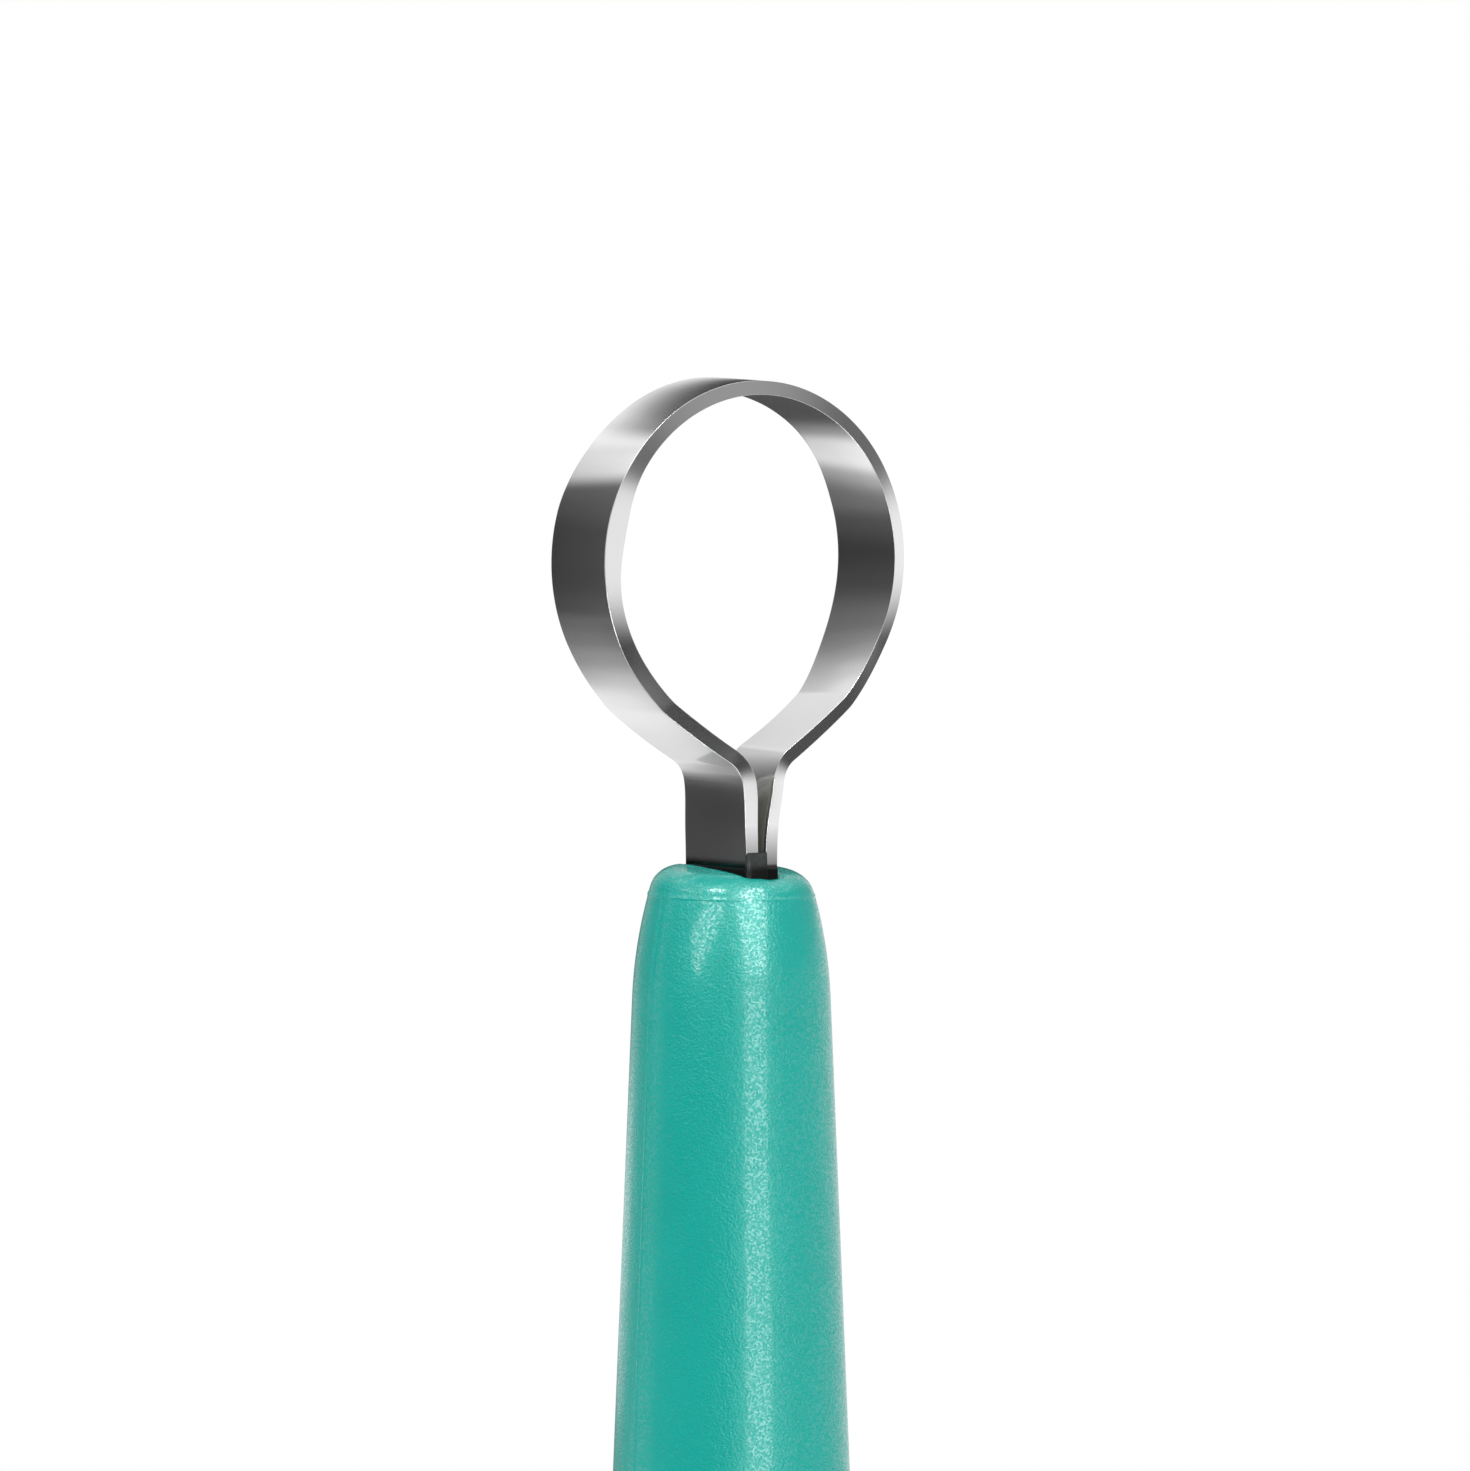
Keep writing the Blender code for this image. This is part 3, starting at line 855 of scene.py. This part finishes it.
def tone_ramp(tree, share, tones):
    """A ramp of greys over one turn, from pairs of degrees and brightness."""
    node = add_node(tree, "ShaderNodeValToRGB", None, {"Fac": share})
    ramp = node.color_ramp
    ramp.interpolation = "EASE"
    while len(ramp.elements) < len(tones):
        ramp.elements.new(1.0)
    for element, (degrees, level) in zip(ramp.elements, tones):
        element.position = degrees / 360
        element.color = (level, level, level, 1.0)
    return node.outputs["Color"]


def turn_share(tree, across, upward):
    """The share of a turn from +X towards +Z: atan2(upward, across) / 2 pi, in 0 to 1."""
    angle = combine(tree, "ARCTAN2", upward, across)
    share = combine(tree, "DIVIDE", angle, 2 * math.pi)
    return combine(tree, "WRAP", share, 1.0, 0.0)


def card_mesh():
    """A thin disc across Y behind the ring, centred on the ring's axis."""
    around = np.linspace(0.0, 2 * math.pi, 96, endpoint=False)
    rings = []
    for radius, y in ((0.1, 0.0), (1.0, 0.0), (1.0, CARD_THICKNESS), (0.1, CARD_THICKNESS)):
        x = CARD_RADIUS * radius * np.cos(around)
        z = RING_MIDDLE + CARD_RADIUS * radius * np.sin(around)
        rings.append(np.stack([x, np.full_like(x, CARD_DISTANCE + y), z], axis=1))
    return skin("ring_card", np.array(rings))


def printed_card():
    """Greys that glow by the direction from the ring's axis.

    The inner tones serve the ring's inside face and the outer ones its outside. Both
    grow brighter with the distance from the axis, the outer ones only at the left.
    Close to the axis are the tones for the neck, which grow brighter across the card,
    and low on the card its outermost part is shaded.
    """
    material = bpy.data.materials.new("printed_card")
    material.use_nodes = True
    tree = material.node_tree
    tree.nodes.clear()
    place_on = add_node(tree, "ShaderNodeTexCoord").outputs["Object"]
    moved = add_node(
        tree,
        "ShaderNodeVectorMath",
        {"operation": "SUBTRACT"},
        {0: place_on, 1: (0.0, CARD_DISTANCE, RING_MIDDLE)},
    ).outputs["Vector"]
    parts = add_node(tree, "ShaderNodeSeparateXYZ", None, {"Vector": moved}).outputs
    share = turn_share(tree, parts["X"], parts["Z"])
    radius = add_node(
        tree,
        "ShaderNodeVectorMath",
        {"operation": "LENGTH"},
        {0: moved},
    ).outputs["Value"]
    outside = smooth_range(tree, radius, *OUTSIDE_BEYOND)
    far_out = smooth_range(tree, radius, *SHADE_BEYOND)
    low_down = smooth_range(tree, parts["Z"], *SHADE_UPWARD)
    shaded = combine(tree, "MULTIPLY_ADD", far_out, low_down, 1.0)
    even = smooth_range(tree, parts["X"], *EVEN_ACROSS)
    outside_grade = blend(tree, "FLOAT", even, straight_range(tree, radius, *OUTSIDE_GRADE), 1.0)
    outside_strength = combine(tree, "MULTIPLY", outside_grade, shaded)
    inside_strength = straight_range(tree, radius, *INSIDE_GRADE)
    strength = blend(tree, "FLOAT", outside, inside_strength, outside_strength)
    at_neck = smooth_range(tree, radius, *NECK_WITHIN)
    neck_tone = straight_range(tree, parts["X"], *NECK_TONES)
    inside = blend(tree, "RGBA", at_neck, tone_ramp(tree, share, INSIDE_TONES), neck_tone)
    tone = blend(tree, "RGBA", outside, inside, tone_ramp(tree, share, OUTSIDE_TONES))
    glow = add_node(tree, "ShaderNodeEmission", None, {"Color": tone, "Strength": strength})
    add_node(tree, "ShaderNodeOutputMaterial", None, {"Surface": glow.outputs[0]})
    return material


card = put_in_scene("ring_card", card_mesh())
card.data.materials.append(printed_card())
card.visible_camera = False
card.visible_diffuse = False
card.visible_shadow = False
card.visible_transmission = False


# Room
# White for the camera. Gloss sees white behind the object and overhead, and in front
# a pale band at the height of the ring, dark above and below it and to the left.

# Ranges of the direction that a mirror looks in: of Z, or of X or Y where the name
# says so.
BEHIND_ALONG_Y = (0.40, 0.64, 0.0, 1.0)
BEHIND_LEVEL = 0.92
BAND_SLANT = 0.10
BAND_TOP = (0.13, 0.22, 1.0, 0.15)
BAND_FOOT = (-0.36, -0.05, 0.05, 0.93)
BAND_FOOT_AT_RIGHT = (-0.27, -0.06, 0.08, 1.0)
AHEAD_ALONG_X = (0.3, 0.7, 1.0, 0.0)
LEFT_END_ALONG_X = (-0.6, -0.2, 0.08, 1.0)
ABOVE_BAND = (0.25, 0.4, 0.0, 0.22)
OVERHEAD = (0.5, 0.8, 0.0, 1.2)
MATT_LEVEL = 0.72


def build_room():
    """White for the camera, one even level for matt surfaces, and the room for gloss.

    The room in front is the product of the band's top, foot and left end, plus what
    is above the band. The light overhead is added everywhere. The band's top slants
    by BAND_SLANT across X.
    """
    world = bpy.data.worlds.new("studio")
    bpy.context.scene.world = world
    world.use_nodes = True
    tree = world.node_tree
    tree.nodes.clear()
    toward = add_node(tree, "ShaderNodeTexCoord").outputs["Generated"]
    parts = add_node(tree, "ShaderNodeSeparateXYZ", None, {"Vector": toward}).outputs
    slanted = combine(tree, "MULTIPLY_ADD", parts["X"], BAND_SLANT, parts["Z"])
    top = smooth_range(tree, slanted, *BAND_TOP)
    ahead = smooth_range(tree, parts["X"], *AHEAD_ALONG_X)
    foot_at_right = smooth_range(tree, parts["Z"], *BAND_FOOT_AT_RIGHT)
    foot = blend(tree, "FLOAT", ahead, foot_at_right, smooth_range(tree, parts["Z"], *BAND_FOOT))
    left_end = smooth_range(tree, parts["X"], *LEFT_END_ALONG_X)
    band = combine(tree, "MULTIPLY", foot, top)
    band = combine(tree, "MULTIPLY", band, left_end)
    front = combine(tree, "ADD", band, smooth_range(tree, parts["Z"], *ABOVE_BAND))
    behind = smooth_range(tree, parts["Y"], *BEHIND_ALONG_Y)
    room = blend(tree, "FLOAT", behind, front, BEHIND_LEVEL)
    room = combine(tree, "ADD", room, smooth_range(tree, parts["Z"], *OVERHEAD))
    rays = add_node(tree, "ShaderNodeLightPath").outputs
    unseen = blend(tree, "FLOAT", rays["Is Glossy Ray"], MATT_LEVEL, room)
    strength = blend(tree, "FLOAT", rays["Is Camera Ray"], unseen, 1.0)
    background = add_node(
        tree,
        "ShaderNodeBackground",
        None,
        {"Color": (1.0, 1.0, 1.0, 1.0), "Strength": strength},
    )
    add_node(tree, "ShaderNodeOutputWorld", None, {"Surface": background.outputs[0]})


build_room()


# Lamps
# Two softboxes light everything. Five small lamps close to the tip are seen only in
# gloss, as the streak down the nose and the bright spots round the crown.

SOFTBOX_DISTANCE = 500 * MM

# Name, turn, rise, width, height and brightness.
SOFTBOXES = (
    ("window", math.radians(-8), math.radians(48), 130 * MM, 150 * MM, 11.0),
    ("left_light", math.radians(-105), math.radians(38), 260 * MM, 120 * MM, 2.8),
)


def add_lamp(name, width, height, brightness):
    """A rectangular lamp whose power is its brightness times pi times its area."""
    data = bpy.data.lights.new(name, "AREA")
    data.shape = "RECTANGLE"
    data.size = width
    data.size_y = height
    data.energy = brightness * math.pi * width * height
    lamp = put_in_scene(name, data)
    lamp.visible_camera = False
    return lamp


def add_softbox(name, turn, rise, width, height, brightness):
    """A lamp that faces the tip, turned from -Y towards +X and raised."""
    lamp = add_lamp(name, width, height, brightness)
    level = SOFTBOX_DISTANCE * math.cos(rise)
    lift = SOFTBOX_DISTANCE * math.sin(rise)
    lamp.location = (level * math.sin(turn), -level * math.cos(turn), MOUTH + lift)
    lamp.rotation_euler = (math.pi / 2 - rise, 0.0, turn)


for softbox in SOFTBOXES:
    add_softbox(*softbox)


FROM_AHEAD = math.radians(-8)
FROM_LEFT = math.radians(-62)
NODDING = math.radians(40)
STEEP = math.radians(100)
ROLLED = math.radians(50)
STREAK_PLACE = (-1.5 * MM, -8.0 * MM, 115.5 * MM)
TIP_PLACE = (-0.75 * MM, -3.0 * MM, 129.85 * MM)
SPARK_PLACE = (-7.5 * MM, -3.9 * MM, 132.2 * MM)
AHEAD_PLACE = (-0.05 * MM, -2.65 * MM, 132.25 * MM)
LEFT_PLACE = (-2.38 * MM, -1.8 * MM, 132.35 * MM)

# Name, place, turn, nod, roll, width and height, and brightness.
NEAR_LAMPS = (
    ("streak_lamp", STREAK_PLACE, FROM_AHEAD, 0.0, 0.0, (3.3 * MM, 27 * MM), 4.6),
    ("tip_lamp", TIP_PLACE, FROM_AHEAD, NODDING, 0.0, (1.4 * MM, 2.6 * MM), 7.5),
    ("spark_lamp", SPARK_PLACE, FROM_LEFT, 0.0, ROLLED, (2.8 * MM, 6.0 * MM), 7.0),
    ("ahead_lamp", AHEAD_PLACE, FROM_AHEAD, STEEP, 0.0, (1.2 * MM, 1.1 * MM), 12.0),
    ("left_lamp", LEFT_PLACE, FROM_LEFT, STEEP, 0.0, (0.9 * MM, 0.9 * MM), 27.0),
)


def add_near_lamp(name, place_at, turn, nod, roll, size, brightness):
    """A small lamp close to the handle, seen only in its gloss."""
    lamp = add_lamp(name, size[0], size[1], brightness)
    lamp.location = place_at
    lamp.rotation_euler = (math.pi / 2 - nod, roll, turn)
    lamp.visible_diffuse = False


for near_lamp in NEAR_LAMPS:
    add_near_lamp(*near_lamp)


# Camera
# Looks at the tip from the front left and a little above, as the photograph does.

CAMERA_TURN = math.radians(34.7)
CAMERA_RISE = math.radians(3.0)
CAMERA_DISTANCE = 600 * MM
PICTURE_PIXELS = 1470
PIXEL = 0.0193 * MM
AXIS_PIXEL_X = 731.4
MOUTH_PIXEL_Y = 869.1
PICTURE_MIDDLE = (735.0, 735.5)

right = np.array([math.cos(CAMERA_TURN), -math.sin(CAMERA_TURN), 0.0])
forward = np.array([
    math.sin(CAMERA_TURN) * math.cos(CAMERA_RISE),
    math.cos(CAMERA_TURN) * math.cos(CAMERA_RISE),
    -math.sin(CAMERA_RISE),
])
upward = np.cross(right, forward)
target = np.array([0.0, 0.0, MOUTH])
target = target + (PICTURE_MIDDLE[0] - AXIS_PIXEL_X) * PIXEL * right
target = target + (MOUTH_PIXEL_Y - PICTURE_MIDDLE[1]) * PIXEL * upward
eye = target - forward * CAMERA_DISTANCE

camera_data = bpy.data.cameras.new("camera")
camera_data.sensor_fit = "HORIZONTAL"
camera_data.angle = 2 * math.atan(PICTURE_PIXELS * PIXEL / 2 / CAMERA_DISTANCE)
camera_data.clip_start = 10 * MM
camera_data.clip_end = 20.0
camera = put_in_scene("camera", camera_data)
camera.location = eye.tolist()
camera.rotation_euler = (math.pi / 2 - CAMERA_RISE, 0.0, -CAMERA_TURN)
bpy.context.scene.camera = camera

bpy.context.scene.view_settings.view_transform = "Standard"
